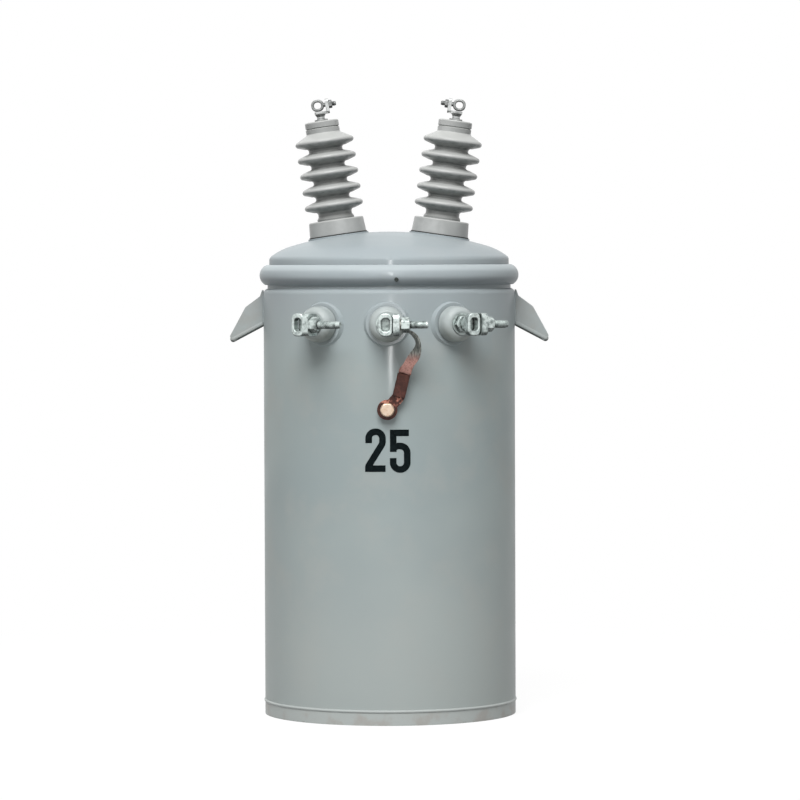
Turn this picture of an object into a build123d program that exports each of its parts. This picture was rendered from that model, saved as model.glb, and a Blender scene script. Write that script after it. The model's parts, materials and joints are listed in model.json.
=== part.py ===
from build123d import *
import os
from math import atan2, cos, degrees, radians, sin, sqrt

os.makedirs("parts", exist_ok=True)

# Single-phase pole mounted transformer. Millimetres, +Z up, -Y the low-voltage side, +Y the pole side.
# The origin is on the tank axis, in the plane that the tank's foot stands on.

# ---- Driving dimensions ----
TANK_R = 203.0  # outside radius of the rolled tank wall
WALL = 3.0  # sheet thickness of wall, bottom and cover
FOOT_H = 22.0  # height of the foot flange below the bottom weld
SHOULDER_Z = 679.0  # where the wall starts to curve in
NECK_R = 196.4
NECK_Z = 687.0
RIM_R = 205.5  # outside radius of the two clamped flanges
FLARE_Z = 692.5  # where the neck starts to flare out at 45 degrees
RIM_TOP_Z = 703.5
LID_GASKET_H = 6.0
SKIRT_R = 193.5
DOME_R = 552.0  # spherical radius of the cover
DOME_TOP_Z = 778.4
BAND_BULGE_R = 209.3
BAND_SPLIT_AZ = 42.0  # degrees from the rear centre line to the band's closing bolt
FILL_TOP_Z = 590.0  # top of the sealed core, coils and oil

HV_X = 81.8  # high-voltage bushing seats, either side of the axis
HV_TILT = 8.2  # outward lean of each bushing, degrees
HV_SHED_R = 47.3
HV_CORE_R = 27.3
HV_SHED_PITCH = 25.8
HV_SHEDS = 5

LV_Z = 632.0  # height of the three low-voltage bushings
LV_STEP_AZ = 30.0  # angle between them round the tank
LV_BOSS_FACE = 207.0  # distance of the flat boss faces from the axis
LV_BODY_R = 28.5

GROUND_Z = 498.0
HANGER_SPACING = 285.75  # centre to centre of the two pole bolts
HANGER_LOW_Z = 290.0
HANGER_STANDOFF = 62.0  # from the tank wall to the face against the pole
BOLT_SLOT_R = 8.75  # slots for 5/8 inch through bolts
BOLT_SLOT_LENGTH = 40.0

# ---- Worked out from them ----
BORE_R = TANK_R - WALL
NECK_BORE_R = NECK_R - WALL
LID_FLANGE_Z = RIM_TOP_Z + LID_GASKET_H
DOME_CENTRE_Z = DOME_TOP_Z - DOME_R
BIG = 1000.0


def save(name, shape):
    export_step(shape, f"parts/{name}.step")


def dome_z(radius, sphere_r=DOME_R):
    """Height of the spherical cover surface at a distance from the axis."""
    return DOME_CENTRE_Z + sqrt(sphere_r**2 - radius**2)


def turned(*edges):
    """A solid of revolution about Z from edges drawn as (radius, height) in the XZ plane."""
    return revolve(Plane.XZ * make_face(Wire(edges)), Axis.Z)


def path(*points):
    return [Line(a, b) for a, b in zip(points, points[1:])]


def hex_prism(across_flats, height):
    return extrude(RegularPolygon(across_flats / 2, 6, major_radius=False), height)


def rod(start, end, radius):
    """A round bar between two points."""
    axis = Vector(*end) - Vector(*start)
    return extrude(Plane(start, z_dir=axis) * Circle(radius), axis.length)


HEX_CORNER_SHARE = 0.56  # radius that the corners are turned to, as a share of the width across flats
HEX_CHAMFER_SHARES = (0.12, 0.22)  # down and in, as shares of the height


def chamfered_hex(across_flats, height, bore_r):
    """A hexagon nut or head standing on XY, its upper corners turned off."""
    down, inward = (share * height for share in HEX_CHAMFER_SHARES)
    cap = Pos(0, 0, height / 2) * Cylinder(across_flats * HEX_CORNER_SHARE, height)
    cap = chamfer(cap.edges().group_by(Axis.Z)[-1], down, inward)
    nut = hex_prism(across_flats, height) & cap
    if bore_r:
        nut -= Pos(0, 0, height / 2) * Cylinder(bore_r, height * 2)
    return nut


def tank_cylinder(radius=TANK_R):
    return Pos(0, 0, BIG / 2) * Cylinder(radius, BIG)


# ---- Tank ----
def low_voltage_place(index):
    """Frame on the tank axis at bushing height, -Y pointing out through bushing -1, 0 or +1."""
    return Pos(0, 0, LV_Z) * Rot(0, 0, index * LV_STEP_AZ)


LV_BOSS_R = 33.0
LV_BOSS_BASE_R = 42.0
LV_BOSS_ROOT = 10.0  # how far inside the wall the boss's cone starts
LV_HOLE_R = 15.0
SHOULDER_BEND = (TANK_R - 2.0, NECK_Z - 2.6)  # a point halfway round the shoulder
SHOULDER_INNER_BEND = (BORE_R - 2.0, NECK_Z - 5.6)
LIP_T = 3.0


def outward(start, end, radius):
    """A round bar along -Y, between two distances from the axis."""
    return rod((0, -start, 0), (0, -end, 0), radius)


def tank_shell():
    shell = turned(
        Line((BORE_R, FOOT_H), (TANK_R, FOOT_H)),
        Line((TANK_R, FOOT_H), (TANK_R, SHOULDER_Z)),
        ThreePointArc((TANK_R, SHOULDER_Z), SHOULDER_BEND, (NECK_R, NECK_Z)),
        *path(
            (NECK_R, NECK_Z),
            (NECK_R, FLARE_Z),
            (RIM_R, FLARE_Z + RIM_R - NECK_R),
            (RIM_R, RIM_TOP_Z),
            (NECK_R - 0.5, RIM_TOP_Z),
            (NECK_BORE_R, RIM_TOP_Z - LIP_T),
            (NECK_BORE_R, NECK_Z - WALL),
        ),
        ThreePointArc((NECK_BORE_R, NECK_Z - WALL), SHOULDER_INNER_BEND, (BORE_R, SHOULDER_Z - WALL)),
        Line((BORE_R, SHOULDER_Z - WALL), (BORE_R, FOOT_H)),
    )
    boss_depth = LV_BOSS_FACE - BORE_R + LV_BOSS_ROOT
    inside = tank_cylinder(BORE_R)
    for index in (-1, 0, 1):
        seat = Plane((0, -LV_BOSS_FACE, 0), x_dir=(1, 0, 0), z_dir=(0, 1, 0))
        boss = loft([seat * Circle(LV_BOSS_R), seat.offset(boss_depth) * Circle(LV_BOSS_BASE_R)])
        boss = low_voltage_place(index) * boss - inside
        shell += boss
    for index in (-1, 0, 1):
        shell -= low_voltage_place(index) * outward(BORE_R / 2, LV_BOSS_FACE + WALL, LV_HOLE_R)
    return shell


PLATE_Z = FOOT_H + 5.0  # underside of the recessed bottom
BOTTOM_BEND_R = 6.0  # radius between the bottom and its turned-down edge
HALFWAY = 1 - sqrt(0.5)  # how far a quarter circle's middle lies from its tangents, in radii


def tank_bottom():
    spigot_r = BORE_R - WALL
    bend = BOTTOM_BEND_R
    inset = bend * HALFWAY
    bend_middle = (spigot_r - inset, PLATE_Z - inset)
    top_z = PLATE_Z + WALL
    return turned(
        Line((0, PLATE_Z), (spigot_r - bend, PLATE_Z)),
        ThreePointArc((spigot_r - bend, PLATE_Z), bend_middle, (spigot_r, PLATE_Z - bend)),
        *path(
            (spigot_r, PLATE_Z - bend),
            (spigot_r, FOOT_H / 2 + WALL + 1.0),
            (BORE_R, FOOT_H / 2),
            (BORE_R, 0),
            (TANK_R, 0),
            (TANK_R, FOOT_H),
            (BORE_R, FOOT_H),
            (BORE_R, top_z - bend),
        ),
        ThreePointArc((BORE_R, top_z - bend), (BORE_R - inset, top_z - inset), (BORE_R - bend, top_z)),
        Line((BORE_R - bend, top_z), (0, top_z)),
        Line((0, top_z), (0, PLATE_Z)),
    )


def bottom_weld():
    half = 2.3
    proud = 1.6
    return turned(
        Line((TANK_R, FOOT_H - half), (TANK_R, FOOT_H + half)),
        ThreePointArc((TANK_R, FOOT_H + half), (TANK_R + proud, FOOT_H), (TANK_R, FOOT_H - half)),
    )


def core_and_oil():
    base = PLATE_Z + WALL
    height = FILL_TOP_Z - base
    return Pos(0, 0, base + height / 2) * Cylinder(BORE_R - 1.0, height)


# ---- Cover and its clamping band ----
def high_voltage_place(side):
    """Frame on the cover at the left (-1) or right (+1) bushing seat, +Z along the bushing."""
    seat_z = dome_z(HV_X) + HV_SEAT_RISE
    return Pos(side * HV_X, 0, seat_z) * Rot(0, side * HV_TILT, 0)


HV_SEAT_R = 49.0
HV_SEAT_DEPTH = 20.0
HV_SEAT_RISE = 0.2  # of each flat seat's middle over the dome's own surface
HV_HOLE_R = 27.0
LID_FLANGE_T = 2.9
SKIRT_TOP_Z = 732.8  # where the upright skirt ends
KNUCKLE_R = SKIRT_R - 4.0  # where the knuckle's tight lower arc meets its wide upper one
KNUCKLE_Z = 739.6
KNUCKLE_BEND = (SKIRT_R - 1.1, 736.6)  # on the tight arc
HAUNCH = (175.6, 748.2)  # on the wide arc
UNDER_HAUNCH = (174.2, 745.2)
UNDER_KNUCKLE = (SKIRT_R - 6.2, 736.9)
UNDER_SKIRT_Z = 732.0
CROWN_R = 155.0  # where the spherical part of the cover ends


def cover():
    """Spherical dome, tighter knuckle round it, short upright skirt, and the flange that the band grips."""
    top_z = LID_FLANGE_Z + LID_FLANGE_T
    under_r = DOME_R - WALL
    skirt_top = (SKIRT_R, SKIRT_TOP_Z)
    knuckle = (KNUCKLE_R, KNUCKLE_Z)
    crown = (CROWN_R, dome_z(CROWN_R))
    halfway = (CROWN_R / 2, dome_z(CROWN_R / 2))
    apex = (0, DOME_TOP_Z)
    under_apex = (0, DOME_TOP_Z - WALL)
    under_halfway = (CROWN_R / 2, dome_z(CROWN_R / 2, under_r))
    under_crown = (CROWN_R, dome_z(CROWN_R, under_r))
    under_skirt = (SKIRT_R - WALL, UNDER_SKIRT_Z)
    lid = turned(
        *path(
            (SKIRT_R - WALL, LID_FLANGE_Z),
            (RIM_R, LID_FLANGE_Z),
            (RIM_R, top_z),
            (SKIRT_R, top_z + RIM_R - SKIRT_R),
            skirt_top,
        ),
        ThreePointArc(skirt_top, KNUCKLE_BEND, knuckle),
        ThreePointArc(knuckle, HAUNCH, crown),
        ThreePointArc(crown, halfway, apex),
        Line(apex, under_apex),
        ThreePointArc(under_apex, under_halfway, under_crown),
        ThreePointArc(under_crown, UNDER_HAUNCH, UNDER_KNUCKLE),
        Line(UNDER_KNUCKLE, under_skirt),
        Line(under_skirt, (SKIRT_R - WALL, LID_FLANGE_Z)),
    )
    under = Pos(0, 0, DOME_CENTRE_Z) * Sphere(under_r)
    for side in (-1, 1):
        seat = high_voltage_place(side) * (Pos(0, 0, -HV_SEAT_DEPTH / 2) * Cylinder(HV_SEAT_R, HV_SEAT_DEPTH))
        lid += seat - under
    for side in (-1, 1):
        lid -= high_voltage_place(side) * Cylinder(HV_HOLE_R, 3 * HV_SEAT_DEPTH)
    return lid


def cover_gasket():
    ring = Cylinder(RIM_R - 2.0, LID_GASKET_H) - Cylinder(SKIRT_R, LID_GASKET_H)
    return Pos(0, 0, RIM_TOP_Z + LID_GASKET_H / 2) * ring


BAND_LOW = (198.9, 695.0)
BAND_HIGH = (196.9, LID_FLANGE_Z + 11.5)
BAND_MID_Z = (BAND_LOW[1] + BAND_HIGH[1]) / 2
BAND_TOP_LIP = 4.2
BAND_LOW_LIP = 2.0
EAR_REACH = 27.0
EAR_OVERLAP = 2.0
EAR_H = 22.0
EAR_T = 6.0
EAR_CORNER_R = 7.0
EAR_BOLT_AT = RIM_R + EAR_REACH * 0.58  # distance of the closing bolt from the tank's axis
EAR_FACE = 12.0  # outer face of each ear, from the middle of the cut
SPLIT_GAP = 2 * (EAR_FACE - EAR_T)
BAND_BOLT_R = 5.0
BAND_BOLT_AF = 16.0
BAND_BOLT_TAIL = 14.0


def cover_band():
    low_r, low_z = BAND_LOW
    high_r, high_z = BAND_HIGH
    top_lip = (high_r + 0.8, high_z + BAND_TOP_LIP)
    low_lip = (low_r + 1.5, low_z - BAND_LOW_LIP)
    band = turned(
        *path(
            (low_r, low_z),
            (RIM_R, FLARE_Z + RIM_R - NECK_R),
            (RIM_R, LID_FLANGE_Z + LID_FLANGE_T),
            (high_r, high_z),
            top_lip,
        ),
        ThreePointArc(top_lip, (BAND_BULGE_R, BAND_MID_Z), low_lip),
        Line(low_lip, (low_r, low_z)),
    )
    # The band is cut at the closing bolt, and an ear stands out on each side of the cut.
    band -= Pos(0, TANK_R, BAND_MID_Z) * Box(SPLIT_GAP, TANK_R / 3, TANK_R / 3)
    core = Pos(0, 0, BAND_MID_Z) * Cylinder(RIM_R + 0.6, TANK_R / 3)
    for side in (-1, 1):
        ear = Box(EAR_T, EAR_REACH, EAR_H)
        ear = fillet(ear.edges().filter_by(Axis.X).group_by(Axis.Y)[-1], EAR_CORNER_R)
        shift = side * (EAR_FACE - EAR_T / 2)
        ear = Pos(shift, RIM_R + EAR_REACH / 2 - EAR_OVERLAP, BAND_MID_Z) * ear
        band += ear - core
    band -= band_bolt_line() * Cylinder(BAND_BOLT_R, EAR_FACE * 4)
    return Rot(0, 0, BAND_SPLIT_AZ) * band


def band_bolt_line():
    """Frame at the middle of the closing bolt, its Z along the bolt."""
    return Pos(0, EAR_BOLT_AT, BAND_MID_Z) * Rot(0, 90, 0)


def band_bolt():
    head = Pos(0, 0, EAR_FACE) * chamfered_hex(BAND_BOLT_AF, 6.5, 0)
    shank = Pos(0, 0, -BAND_BOLT_TAIL / 2) * Cylinder(BAND_BOLT_R, 2 * EAR_FACE + BAND_BOLT_TAIL)
    return Rot(0, 0, BAND_SPLIT_AZ) * band_bolt_line() * (head + shank)


def band_nut():
    nut = Pos(0, 0, -EAR_FACE) * Rot(180, 0, 0) * chamfered_hex(BAND_BOLT_AF, 8.0, BAND_BOLT_R)
    return Rot(0, 0, BAND_SPLIT_AZ) * band_bolt_line() * nut


# ---- Terminal clamps, shared by both voltages ----
EYE_CORNER_SHARE = 0.42  # corner radius of an eye and its hole, as a share of their width
EYE_RIM_SHARE = 0.2  # edge radius, as a share of the eye's width less the hole's


def eyebolt(eye, hole, depth, shank_r, shank_end, offset):
    """An eyebolt along +X through the origin; its oval eye is centred at -offset and open along Y."""
    eye_w, eye_h = eye
    hole_w, hole_h = hole
    ring = extrude(Plane.XZ * RectangleRounded(eye_w, eye_h, eye_w * EYE_CORNER_SHARE), depth / 2, both=True)
    ring -= extrude(Plane.XZ * RectangleRounded(hole_w, hole_h, hole_w * EYE_CORNER_SHARE), depth, both=True)
    rims = [e for e in ring.edges() if abs(abs(e.center().Y) - depth / 2) < 0.01]
    ring = Pos(-offset, 0, 0) * fillet(rims, (eye_w - hole_w) * EYE_RIM_SHARE)
    shank = rod(((hole_w + eye_w) / 4 - offset, 0, 0), (shank_end, 0, 0), shank_r)
    shank = chamfer(shank.edges().sort_by(Axis.X)[-1], shank_r * 0.25)
    return ring + shank


def clamp_nut(across_flats, height, shank_r, start):
    """A hexagon nut on an eyebolt's shank, bearing at the given distance from the origin."""
    return Pos(start, 0, 0) * Rot(0, 90, 0) * chamfered_hex(across_flats, height, shank_r)


# ---- High-voltage bushings ----
HV_GASKET_H = 1.8
HV_GASKET_R = 47.0
HV_COLLAR_H = 24.0
HV_COLLAR_R = 46.0
HV_COLLAR_TOP_R = HV_COLLAR_R - 1.7
HV_COLLAR_ROUND = 2.5  # height and width of the collar's rounded upper edge
HV_MOUTH_R = HV_CORE_R + 3.0
HV_BASE_R = 36.0
HV_SHOULDER = HV_GASKET_H + 18.0
HV_NECKING = HV_CORE_R + 2.6  # radius of the porcelain inside the collar's mouth
HV_FIRST_SHED = 47.6  # above the porcelain's foot
HV_SPIGOT_R = 25.0
HV_SPIGOT_LENGTH = 18.0
HV_TOP = HV_GASKET_H + 184.5
HV_GROOVE_Z = HV_TOP - 11.0
HV_GROOVE_DEPTH = 1.8
HV_GROOVE_HALF = 1.2
HV_STUD_R = 5.5
HV_STUD_TAIL = 24.0
HV_CLAMP_AXIS = HV_TOP + 25.5


def hv_gasket():
    ring = Cylinder(HV_GASKET_R, HV_GASKET_H) - Cylinder(HV_HOLE_R, HV_GASKET_H)
    return Pos(0, 0, HV_GASKET_H / 2) * ring


def hv_collar():
    low = HV_GASKET_H
    top = low + HV_COLLAR_H
    edge = HV_COLLAR_ROUND
    inset = edge * HALFWAY
    rim_r = HV_COLLAR_TOP_R - edge
    return turned(
        *path(
            (HV_BASE_R, low),
            (HV_COLLAR_R, low),
            (HV_COLLAR_TOP_R, top - edge),
        ),
        ThreePointArc((HV_COLLAR_TOP_R, top - edge), (HV_COLLAR_TOP_R - inset, top - inset), (rim_r, top)),
        *path(
            (rim_r, top),
            (HV_MOUTH_R, top),
            (HV_MOUTH_R, HV_SHOULDER),
            (HV_BASE_R, HV_SHOULDER),
            (HV_BASE_R, low),
        ),
    )


def shed_outline(centre, rise):
    """One rain shed as (radius, height) edges, from its lower root to its upper one, rise above the rim."""
    low = (HV_CORE_R, centre - 11.6)
    low_bend = (HV_CORE_R + 1.3, centre - 9.6)
    under = (HV_CORE_R + 5.5, centre - 8.4)
    lip = (HV_SHED_R - 3.6, centre - 4.9)
    rim = (HV_SHED_R, centre - 0.4)
    back = (HV_SHED_R - 2.8, centre + 4.1)
    slope = (HV_CORE_R + 10.0, centre + 0.4 * rise + 2.6)
    top = (HV_CORE_R + 3.0, centre + rise - 1.6)
    top_bend = (HV_CORE_R + 1.0, centre + rise - 0.5)
    return [
        ThreePointArc(low, low_bend, under),
        Line(under, lip),
        ThreePointArc(lip, rim, back),
        ThreePointArc(back, slope, top),
        ThreePointArc(top, top_bend, (HV_CORE_R, centre + rise + 1.0)),
    ]


SHED_RISE = 10.4
TOP_SHED_RISE = 13.6


def hv_porcelain():
    low = HV_GASKET_H
    core_start = (HV_CORE_R, low + 31.0)
    edges = path(
        (HV_STUD_R, -HV_SPIGOT_LENGTH),
        (HV_SPIGOT_R, -HV_SPIGOT_LENGTH),
        (HV_SPIGOT_R, low),
        (HV_BASE_R, low),
        (HV_BASE_R, HV_SHOULDER),
        (HV_NECKING, HV_SHOULDER),
        (HV_NECKING, low + HV_COLLAR_H + 3.0),
        core_start,
    )
    last = core_start
    for shed in range(HV_SHEDS):
        rise = TOP_SHED_RISE if shed == HV_SHEDS - 1 else SHED_RISE
        outline = shed_outline(low + HV_FIRST_SHED + shed * HV_SHED_PITCH, rise)
        edges.append(Line(last, outline[0] @ 0))
        edges.extend(outline)
        last = outline[-1] @ 1
    edge = HV_COLLAR_ROUND
    inset = edge * HALFWAY
    cap_r = HV_CORE_R - edge
    edges.extend(
        path(
            last,
            (HV_CORE_R, HV_GROOVE_Z - HV_GROOVE_HALF),
            (HV_CORE_R - HV_GROOVE_DEPTH, HV_GROOVE_Z),
            (HV_CORE_R, HV_GROOVE_Z + HV_GROOVE_HALF),
            (HV_CORE_R, HV_TOP - edge),
        )
    )
    edges.append(
        ThreePointArc((HV_CORE_R, HV_TOP - edge), (HV_CORE_R - inset, HV_TOP - inset), (cap_r, HV_TOP))
    )
    edges.append(Line((cap_r, HV_TOP), (HV_STUD_R, HV_TOP)))
    edges.append(Line((HV_STUD_R, HV_TOP), (HV_STUD_R, -HV_SPIGOT_LENGTH)))
    return turned(*edges)


HV_SHANK_R = 3.4
HV_SHANK_END = 27.5
HV_EYE_OFFSET = 2.5
HV_STEM_R = 6.3
HV_NECK_R = 9.0
HV_NECK_LOW = HV_TOP + 11.0
HV_NECK_HIGH = HV_TOP + 15.4
HV_JAW_NEAR = 10.2
HV_JAW_FAR = 15.6
HV_JAW_D = 13.0
HV_JAW_ABOVE = 9.3  # above the clamp's axis
HV_EDGE_R = 4.0
HV_FOOT_AF = 19.0
HV_FOOT_H = 3.0


def hv_stud(side):
    """Threaded rod through the bushing; its forged head has a bored jaw, on the side of the tank's axis."""
    sunk = HV_TOP + 1.0
    neck_h = HV_NECK_HIGH - HV_NECK_LOW
    rod_part = rod((0, 0, -HV_STUD_TAIL), (0, 0, HV_TOP + 4.0), HV_STUD_R)
    foot = Pos(0, 0, HV_TOP) * chamfered_hex(HV_FOOT_AF, HV_FOOT_H, 0)
    stem = turned(
        *path(
            (0, sunk),
            (HV_STEM_R, sunk),
            (HV_STEM_R, HV_NECK_LOW - 4.0),
            (HV_NECK_R, HV_NECK_LOW + 0.5),
            (0, HV_NECK_LOW + 0.5),
            (0, sunk),
        )
    )
    neck = Box(HV_JAW_FAR + HV_NECK_R, 11.0, neck_h)
    neck = Pos((HV_JAW_FAR - HV_NECK_R) / 2, 0, HV_NECK_LOW + neck_h / 2) * neck
    neck = fillet(neck.edges().filter_by(Axis.Z), HV_EDGE_R)
    jaw_w = HV_JAW_FAR - HV_JAW_NEAR
    jaw_h = HV_CLAMP_AXIS + HV_JAW_ABOVE - HV_NECK_LOW
    jaw = Pos(HV_JAW_FAR - jaw_w / 2, 0, HV_NECK_LOW + jaw_h / 2) * Box(jaw_w, HV_JAW_D, jaw_h)
    jaw = fillet(jaw.edges().filter_by(Axis.X), HV_EDGE_R)
    bore = Pos(0, 0, HV_CLAMP_AXIS) * rod((0, 0, 0), (2 * HV_JAW_FAR, 0, 0), HV_SHANK_R)
    head = foot + stem + neck + jaw - bore
    return rod_part + Rot(0, 0, 0 if side < 0 else 180) * head


HV_EYE = (20.5, 19.0)
HV_EYE_HOLE = (11.5, 10.5)
HV_EYE_DEPTH = 8.0


def hv_eyebolt(side):
    """Eye above the stud, shank pointing to the tank's axis."""
    bolt = eyebolt(HV_EYE, HV_EYE_HOLE, HV_EYE_DEPTH, HV_SHANK_R, HV_SHANK_END, HV_EYE_OFFSET)
    return Pos(0, 0, HV_CLAMP_AXIS) * Rot(0, 0, 0 if side < 0 else 180) * bolt


def hv_nut(side):
    nut = clamp_nut(12.0, 5.5, HV_SHANK_R, HV_JAW_FAR)
    return Pos(0, 0, HV_CLAMP_AXIS) * Rot(0, 0, 0 if side < 0 else 180) * nut


# ---- Low-voltage bushings, drawn on the tank axis with -Y pointing out ----
LV_GASKET_H = 2.5
LV_GASKET_R = 26.5
LV_BASE = LV_BOSS_FACE + LV_GASKET_H
LV_INNER_END = BORE_R - 6.0
LV_FRONT = 234.0
LV_FRONT_R = 20.0
LV_SPIGOT_R = 14.0
LV_STUD_R = 8.0
LV_EYE_AT = 270.0  # distance of the eye's centre from the tank axis
LV_SHANK_R = 5.4
LV_EYE_OFFSET = 1.2
LV_JAW_NEAR = 10.5
LV_JAW_FAR = 20.5
LV_JAW_H = 35.0
LV_JAW_FRONT = LV_EYE_AT + 11.0
LV_NECK_FRONT = LV_EYE_AT - 9.0
LV_NECK_D = 10.0
LV_NECK_H = 25.0
LV_EDGE_R = 8.0
LV_EYE = (23.0, 36.0)
LV_EYE_HOLE = (13.0, 20.0)
LV_EYE_DEPTH = 13.0
LV_NUT_AF = 22.0
LV_NUT_H = 13.0
STRAP_T = 3.0
SHANK_ENDS = {"left": 73.0, "centre": 65.0, "right": 62.0}


def turned_outward(*edges):
    """A solid of revolution about the -Y line, from edges drawn as (radius, distance from the axis)."""
    return Rot(90, 0, 0) * turned(*edges)


def lv_gasket():
    return outward(LV_BOSS_FACE, LV_BASE, LV_GASKET_R) - outward(LV_BOSS_FACE - 1, LV_BASE + 1, LV_HOLE_R)


def lv_porcelain():
    edge = 1.5
    inset = edge * HALFWAY
    side_end = (LV_BODY_R - 0.6, LV_FRONT - 11.0)
    shoulder = (LV_BODY_R - 3.4, LV_FRONT - 3.6)
    return turned_outward(
        *path(
            (LV_STUD_R, LV_INNER_END),
            (LV_SPIGOT_R, LV_INNER_END),
            (LV_SPIGOT_R, LV_BASE),
            (LV_BODY_R - edge, LV_BASE),
        ),
        ThreePointArc(
            (LV_BODY_R - edge, LV_BASE), (LV_BODY_R - inset, LV_BASE + inset), (LV_BODY_R, LV_BASE + edge)
        ),
        Line((LV_BODY_R, LV_BASE + edge), side_end),
        ThreePointArc(side_end, shoulder, (LV_FRONT_R, LV_FRONT)),
        *path((LV_FRONT_R, LV_FRONT), (LV_STUD_R, LV_FRONT), (LV_STUD_R, LV_INNER_END)),
    )


LV_WASHER_R = 17.0
LV_WASHER_T = 2.5
LV_LOCKNUT_AF = 25.0
LV_LOCKNUT_H = 8.0


def lv_locknut():
    face = LV_FRONT + LV_WASHER_T
    washer = outward(LV_FRONT, face, LV_WASHER_R)
    nut = Pos(0, -face, 0) * Rot(90, 0, 0) * chamfered_hex(LV_LOCKNUT_AF, LV_LOCKNUT_H, 0)
    return washer + nut - outward(LV_FRONT - LV_LOCKNUT_H, face + 2 * LV_LOCKNUT_H, LV_STUD_R)


def lv_stud():
    """Threaded rod whose forged head has a bored jaw beside the eye."""
    rod_part = outward(LV_INNER_END - LV_STUD_R, LV_NECK_FRONT - 3.0, LV_STUD_R)
    neck = Box(LV_JAW_FAR + 9.0, LV_NECK_D, LV_NECK_H)
    neck = Pos((LV_JAW_FAR - 9.0) / 2, -LV_NECK_FRONT + LV_NECK_D / 2, 0) * neck
    neck = fillet(neck.edges().filter_by(Axis.Y), LV_EDGE_R)
    jaw_w = LV_JAW_FAR - LV_JAW_NEAR
    jaw_d = LV_JAW_FRONT - LV_NECK_FRONT + LV_NECK_D
    jaw = Pos(LV_JAW_FAR - jaw_w / 2, -LV_JAW_FRONT + jaw_d / 2, 0) * Box(jaw_w, jaw_d, LV_JAW_H)
    jaw = fillet(jaw.edges().filter_by(Axis.X), LV_EDGE_R)
    bore = rod((0, -LV_EYE_AT, 0), (2 * LV_JAW_FAR, -LV_EYE_AT, 0), LV_SHANK_R)
    return rod_part + neck + jaw - bore


def lv_eyebolt(name):
    bolt = eyebolt(LV_EYE, LV_EYE_HOLE, LV_EYE_DEPTH, LV_SHANK_R, SHANK_ENDS[name], LV_EYE_OFFSET)
    return Pos(0, -LV_EYE_AT, 0) * bolt


def lv_nut(name):
    """Bears on the jaw, or on the ground strap's tab at the centre bushing."""
    start = LV_JAW_FAR + (STRAP_T if name == "centre" else 0)
    return Pos(0, -LV_EYE_AT, 0) * clamp_nut(LV_NUT_AF, LV_NUT_H, LV_SHANK_R, start)


# ---- Ground connection from the centre low-voltage terminal to the tank ----
PAD_FACE = TANK_R + 8.0
PAD_R = 14.0
LUG_T = 3.0
LUG_RING_R = 16.0
LUG_TONGUE_W = 19.0
GROUND_BOLT_R = 6.0
GROUND_BOLT_AF = 19.0
GROUND_HEAD_H = 7.5
GROUND_WASHER_R = 11.0
GROUND_WASHER_T = 2.0
STRAP_W = 17.0
STRAP_BEND_R = 6.5  # edge-on bend below the terminal's nut
BARREL_LOW = Vector(18.0, 0, 519.0)
BARREL_HIGH = Vector(26.5, 0, 554.0)
BARREL_D = 8.0
BARREL_W = 20.0
BARREL_CORNER_R = 3.0


def ground_pad():
    pad = Pos(0, 0, GROUND_Z) * outward(BORE_R, PAD_FACE, PAD_R)
    return pad - tank_cylinder() - Pos(0, 0, GROUND_Z) * outward(BORE_R, PAD_FACE + LUG_T, GROUND_BOLT_R)


def ground_bolt():
    face = PAD_FACE + LUG_T
    seat = face + GROUND_WASHER_T
    washer = outward(face, seat, GROUND_WASHER_R)
    head = Pos(0, -seat, 0) * Rot(90, 0, 0) * chamfered_hex(GROUND_BOLT_AF, GROUND_HEAD_H, 0)
    shank = outward(TANK_R + 0.5, seat, GROUND_BOLT_R)
    return Pos(0, 0, GROUND_Z) * (washer + head + shank)


def barrel_plane(point):
    """Section plane across the lug's barrel, its X along the barrel's width."""
    along = (BARREL_HIGH - BARREL_LOW).normalized()
    across = along.cross(Vector(0, 1, 0))
    return Plane((point.X, -PAD_FACE - BARREL_D / 2, point.Z), x_dir=across, z_dir=along)


def strap_lug():
    """Ring tongue under the bolt, and the flattened barrel that grips the strap."""
    front = Plane((0, -PAD_FACE, 0), x_dir=(1, 0, 0), z_dir=(0, -1, 0))
    ring = extrude(front * Pos(0, GROUND_Z) * Circle(LUG_RING_R), LUG_T)
    rise = BARREL_LOW.Z - GROUND_Z
    length = sqrt(BARREL_LOW.X**2 + rise**2)
    middle = Pos(BARREL_LOW.X / 2, GROUND_Z + rise / 2)
    tongue = middle * SlotCenterToCenter(length, LUG_TONGUE_W, rotation=degrees(atan2(rise, BARREL_LOW.X)))
    tongue = extrude(front * tongue, LUG_T)
    section = barrel_plane(BARREL_LOW) * RectangleRounded(BARREL_W, BARREL_D, BARREL_CORNER_R)
    barrel = extrude(section, (BARREL_HIGH - BARREL_LOW).length)
    bore = Pos(0, 0, GROUND_Z) * outward(PAD_FACE - LUG_T, PAD_FACE + 2 * LUG_T, GROUND_BOLT_R)
    return ring + tongue + barrel - bore


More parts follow.
